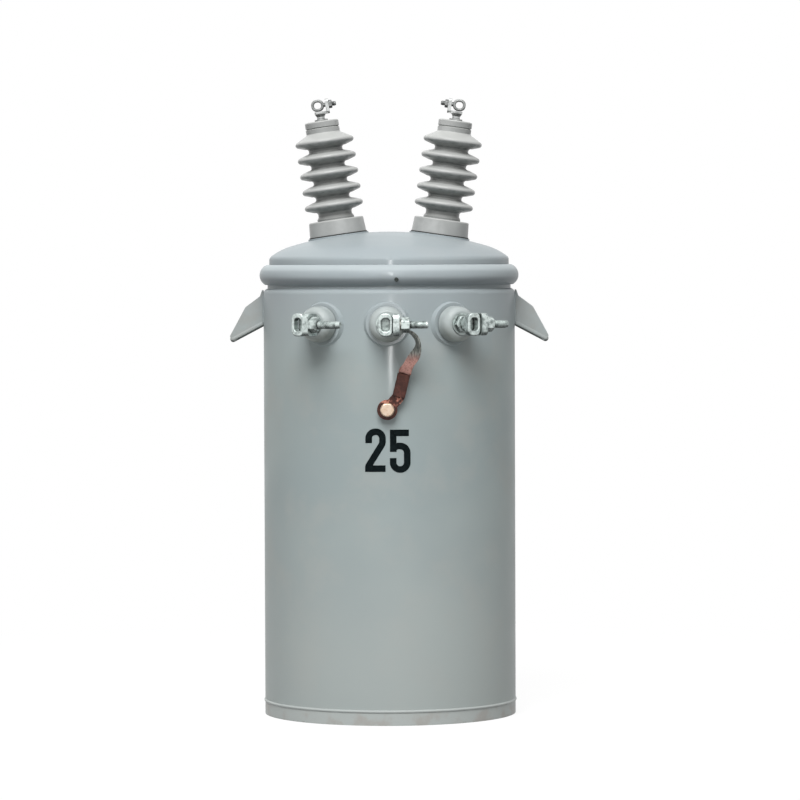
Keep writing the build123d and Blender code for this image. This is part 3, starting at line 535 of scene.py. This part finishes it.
def rounded_route(corners):
    """Points along straight runs joined by tangent arcs, from (x, z, radius) corners."""
    points = [Vector(corners[0][:2])]
    for before, here, after in zip(corners, corners[1:], corners[2:]):
        corner = Vector(here[:2])
        back = (Vector(before[:2]) - corner).normalized()
        ahead = (Vector(after[:2]) - corner).normalized()
        if here[2] == 0:
            points.append(corner)
            continue
        half = back.angle(ahead) / 2
        reach = here[2] / tan(half)
        middle = corner + (back + ahead).normalized() * here[2] / sin(half)
        start, end = corner + back * reach - middle, corner + ahead * reach - middle
        for step in range(BEND_STEPS + 1):
            points.append(middle + start.slerp(end, step / BEND_STEPS).normalized() * here[2])
    points.append(Vector(corners[-1][:2]))
    route = [points[0]]
    for a, b in zip(points, points[1:]):
        parts = max(1, round((b - a).length / STROKE_STEP))
        route.extend(a.lerp(b, (k + 1) / parts) for k in range(parts))
    return route


def stroke_edges(route):
    """Left and right edges of a stroke along the route, mitred where it turns."""
    edges = []
    for k, point in enumerate(route):
        into = (point - route[k - 1]).normalized() if k else (route[1] - point).normalized()
        out = (route[k + 1] - point).normalized() if k < len(route) - 1 else into
        across = Vector((-(into + out).y, (into + out).x)).normalized()
        stretch = 1 / across.dot(Vector((-into.y, into.x)))
        offset = across * STROKE_W / 2 * stretch
        edges.append((point + offset, point - offset))
    return edges


def add_numeral(name, strokes):
    verts, faces = [], []
    for layer, corners in enumerate(strokes):
        proud = NUMERAL_PROUD * (1 + LAYER_RISE * layer)
        edges = stroke_edges(rounded_route([tuple(v * MM for v in c) for c in corners]))
        first = len(verts)
        for left, right in edges:
            row = (left, left.lerp(right, 0.5), right)
            verts.extend(on_wall(p.x, p.y, proud) for p in row)
        for k in range(len(edges) - 1):
            a = first + 3 * k
            for side in (0, 1):
                faces.append((a + side, a + side + 3, a + side + 4, a + side + 1))
    add_piece(name, verts, faces, "tank_paint", NUMERAL_PAINT)


# -- Screw threads --
THREAD_STEPS = 18  # per turn
THREAD_DEPTH = 0.45  # of the pitch
THREAD_FLANK = 0.42  # of the pitch, from a ridge's crest to its foot
THREAD_SUNK = 0.0001  # of a ridge's foot in the shank
THREAD_RUNOUT = 6  # steps in which a ridge fades at its ends


def add_thread(name, start, way, length, radius, pitch, material):
    """A helical ridge on a round shank."""
    side = way.orthogonal().normalized()
    other = way.cross(side)
    depth = THREAD_DEPTH * pitch
    foot = radius - THREAD_SUNK
    count = int(length / pitch * THREAD_STEPS)
    verts, faces = [], []
    for k in range(count + 1):
        angle = 2 * pi * k / THREAD_STEPS
        out = cos(angle) * side + sin(angle) * other
        ending = min(k, count - k, THREAD_RUNOUT) / THREAD_RUNOUT
        crest = radius + depth * ending
        for shift, height in ((-THREAD_FLANK, foot), (0.0, crest), (THREAD_FLANK, foot)):
            verts.append(start + way * (pitch * (k / THREAD_STEPS + shift)) + out * height)
    for k in range(count):
        a = 3 * k
        faces.extend(((a, a + 1, a + 4, a + 3), (a + 1, a + 2, a + 5, a + 4)))
    add_piece(name, verts, faces, "tinned_bronze", material, smooth=False)


LV_SHANK_R = 0.0054
# Reaches along a shank, from the eye's centre
LV_NUT_END = {"left": 0.0347, "centre": 0.0377, "right": 0.0347}
LV_PITCH = 0.0018
HV_SHANK_R = 0.0034
HV_NUT_END = 0.0236
HV_SHANK_REACH = 0.0300
HV_PITCH = 0.0012
HV_TILT = radians(8.2)
FIRST_TURN = 0.6  # pitches from the nut
LV_ENDS, HV_ENDS = 2.2, 2.0  # pitches left bare, both ends together


def add_threads():
    for name, nut_end in LV_NUT_END.items():
        eye, outward = mounts[f"lv_eye_{name}"]
        way = UP.cross(outward)
        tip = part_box(f"lv_eyebolt_{name}")[1].x
        reach = (tip - eye.x - LV_SHANK_R * abs(way.y)) / way.x
        length = reach - nut_end - LV_ENDS * LV_PITCH
        start = eye + way * (nut_end + FIRST_TURN * LV_PITCH)
        add_thread(f"lv_thread_{name}", start, way, length, LV_SHANK_R, LV_PITCH,
                   MATERIALS["tinned_bronze"])
    for name, side in (("left", -1), ("right", 1)):
        eye = mounts[f"hv_eye_{name}"][0]
        way = Vector((-side * cos(HV_TILT), 0.0, sin(HV_TILT)))
        length = HV_SHANK_REACH - HV_NUT_END - HV_ENDS * HV_PITCH
        start = eye + way * (HV_NUT_END + FIRST_TURN * HV_PITCH)
        add_thread(f"hv_thread_{name}", start, way, length, HV_SHANK_R, HV_PITCH, HV_BRONZE)


# -- The slotted plug on the cover band --
PLUG_AT = (0.0150, 0.7020)  # x and z
PLUG_R = 0.0033
PLUG_SLOT = 0.0007
PLUG_INSET = 0.0003  # of the plug's base behind the band's outermost line
PLUG_ROOT = 0.001  # of its sides below that base
PLUG_HEIGHTS = (0.0006, 0.0014)  # of the slot's bottom and of the top
PLUG_CHAMFER = 0.0004
PLUG_TOP_SHARE = 0.86  # of the radius, left flat by the chamfer
PLUG_STEPS = 24


def add_plug():
    """A round head in two halves with an open slot between them."""
    x, z = PLUG_AT
    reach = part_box("cover_band")[1].x - PLUG_INSET
    out = Vector((x, -sqrt(reach * reach - x * x), 0)).normalized()
    side = UP.cross(out)
    base = out * reach + UP * z
    bottom, top = PLUG_HEIGHTS
    verts, faces = [], []

    def prism(angles, levels):
        """Walls round the outline, and a lid on the last level."""
        outline = [(PLUG_R * cos(a), PLUG_R * sin(a)) for a in angles]
        first, count = len(verts), len(outline)
        for height, share in levels:
            for u, v in outline:
                verts.append(base + side * u * share + UP * v * share + out * height)
        for layer in range(len(levels) - 1):
            for k in range(count):
                a, b = first + layer * count + k, first + layer * count + (k + 1) % count
                faces.append((a, b, b + count, a + count))
        faces.append(tuple(range(len(verts) - count, len(verts))))

    prism([2 * pi * k / PLUG_STEPS for k in range(PLUG_STEPS)], ((-PLUG_ROOT, 1.0), (bottom, 1.0)))
    cut = asin(PLUG_SLOT / 2 / PLUG_R)
    for half in (0.0, pi):
        prism([half + cut + (pi - 2 * cut) * k / PLUG_STEPS for k in range(PLUG_STEPS + 1)],
              ((bottom, 1.0), (top - PLUG_CHAMFER, 1.0), (top, PLUG_TOP_SHARE)))
    add_piece("band_plug", verts, faces, "zinc_steel", PLUG_STEEL, smooth=False)


# -- Weld beads --
BEAD_SIDES = 8
RIPPLE = 0.0032  # length of one ripple
RIPPLE_STEPS = 4  # rings of points in one ripple
SWELLS = ((0.12, 2 * pi / RIPPLE), (0.07, 410.0), (0.05, 163.0))  # share of the radius, frequency
END_STEPS = 4  # rings in which a bead thins out at its ends
END_SHARE = 0.35  # of the radius, left at an end
WALL_SLACK = 0.0006  # how far off the wall a node's edge still counts as on it
UPRIGHT_PARTS = 8
LUG_BEAD = (0.0026, 0.0008)  # radius, and depth of the bead's middle below the surface
LUG_BEAD_GAP = 0.0012  # from the plate's face to the bead's middle
LUG_BEAD_ENDS = (0.003, 0.001)  # left bare below and above
LUG_BEAD_LEAN = 0.35
HANGER_BEAD = (0.003, 0.0008)
HANGER_BEAD_GAP = 0.001
HANGER_BEAD_ENDS = (0.002, 0.002)
HANGER_BEAD_LEAN = 0.3
HANGER_EDGE = 0.002  # width at each side of a hanger in which its edge is looked for
SEAM_BEAD = (0.0038, 0.0030)
SEAM_AZIMUTH = radians(152)
SEAM_FOOT_Z = 0.026
PAD_BEAD = (0.0018, 0.0004)
PAD_BEAD_GAP = 0.0006
PAD_BEAD_LEAN = 20  # per metre from the pad's middle
PAD_BEAD_STEPS = 40


def add_bead(name, points, normals, radius, sunk):
    """A rippled weld along a line on the surface; normals point out of the surface."""
    fine, outs = [points[0]], [normals[0]]
    for k in range(len(points) - 1):
        parts = max(1, round((points[k + 1] - points[k]).length / (RIPPLE / RIPPLE_STEPS)))
        for step in range(1, parts + 1):
            fine.append(points[k].lerp(points[k + 1], step / parts))
            outs.append(normals[k].lerp(normals[k + 1], step / parts).normalized())
    verts, faces = [], []
    run = 0.0
    for k, (point, out) in enumerate(zip(fine, outs)):
        way = (fine[min(k + 1, len(fine) - 1)] - fine[max(k - 1, 0)]).normalized()
        across = way.cross(out)
        run += (point - fine[k - 1]).length if k else 0.0
        wave = 1.0 + sum(share * sin(frequency * run) for share, frequency in SWELLS)
        end = min(k, len(fine) - 1 - k, END_STEPS) / END_STEPS
        size = radius * wave * (END_SHARE + (1 - END_SHARE) * end)
        for side in range(BEAD_SIDES):
            a = 2 * pi * side / BEAD_SIDES
            verts.append(point - out * sunk + (cos(a) * out + sin(a) * across) * size)
    for k in range(len(fine) - 1):
        for side in range(BEAD_SIDES):
            a, b = k * BEAD_SIDES + side, k * BEAD_SIDES + (side + 1) % BEAD_SIDES
            faces.append((a, b, b + BEAD_SIDES, a + BEAD_SIDES))
    add_piece(name, verts, faces, "tank_paint")


def node_reach_on_wall(name, test):
    """Lowest and highest point of a node's edge on the wall, of the points that pass the test."""
    places = [vertex.co for vertex in nodes[name].data.vertices]
    heights = [p.z for p in places if hypot(p.x, p.y) < TANK_R + WALL_SLACK and test(p)]
    return min(heights), max(heights)


def add_upright_bead(name, x, y, low, high, bead, lean=(0, 0, 0)):
    """A bead up the wall at the side where (x, y) lies, its face turned by lean."""
    foot = Vector((x, y, 0)).normalized() * TANK_R
    out = (foot.normalized() + Vector(lean)).normalized()
    steps = range(UPRIGHT_PARTS + 1)
    points = [Vector((foot.x, foot.y, low + (high - low) * k / UPRIGHT_PARTS)) for k in steps]
    add_bead(name, points, [out] * len(points), *bead)


def add_welds():
    bare_below, bare_above = LUG_BEAD_ENDS
    for side, name in ((-1, "left"), (1, "right")):
        low, high = node_reach_on_wall(f"lifting_lug_{name}", lambda p: True)
        high = min(high, SHOULDER_Z)
        for face, end in ((-1, "front"), (1, "back")):
            add_upright_bead(f"lug_weld_{name}_{end}", side * TANK_R,
                             face * (LUG_HALF_T + LUG_BEAD_GAP), low + bare_below,
                             high - bare_above, LUG_BEAD, (0, LUG_BEAD_LEAN * face, 0))
    bare_below, bare_above = HANGER_BEAD_ENDS
    for level in ("upper", "lower"):
        node = f"{level}_hanger"
        half_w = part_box(node)[1].x
        for side, name in ((-1, "left"), (1, "right")):
            low, high = node_reach_on_wall(node, lambda p: p.x * side > half_w - HANGER_EDGE)
            x = side * (half_w + HANGER_BEAD_GAP)
            add_upright_bead(f"{node}_weld_{name}", x, sqrt(TANK_R ** 2 - x * x),
                             low + bare_below, high - bare_above, HANGER_BEAD,
                             (HANGER_BEAD_LEAN * side, 0, 0))
    add_upright_bead("seam_weld", sin(SEAM_AZIMUTH), -cos(SEAM_AZIMUTH), SEAM_FOOT_Z, SHOULDER_Z,
                     SEAM_BEAD)
    middle_z = (PAD_LOW.z + PAD_HIGH.z) / 2
    ring = PAD_HIGH.x + PAD_BEAD_GAP
    angles = [2 * pi * k / PAD_BEAD_STEPS for k in range(PAD_BEAD_STEPS + 1)]
    around = [on_wall(ring * cos(a), middle_z + ring * sin(a), 0.0) for a in angles]
    outs = []
    for p in around:
        away = Vector((p.x, 0, p.z - middle_z))
        outs.append((Vector((p.x, p.y, 0)).normalized() + away * PAD_BEAD_LEAN).normalized())
    add_bead("ground_pad_weld", around, outs, *PAD_BEAD)


add_camera()
add_lights()
add_world()
add_floor()
dress_nodes()
for digit, strokes in STROKES.items():
    add_numeral(f"numeral_{digit}", strokes)
add_threads()
add_plug()
add_welds()
bpy.context.scene.view_settings.view_transform = "Standard"
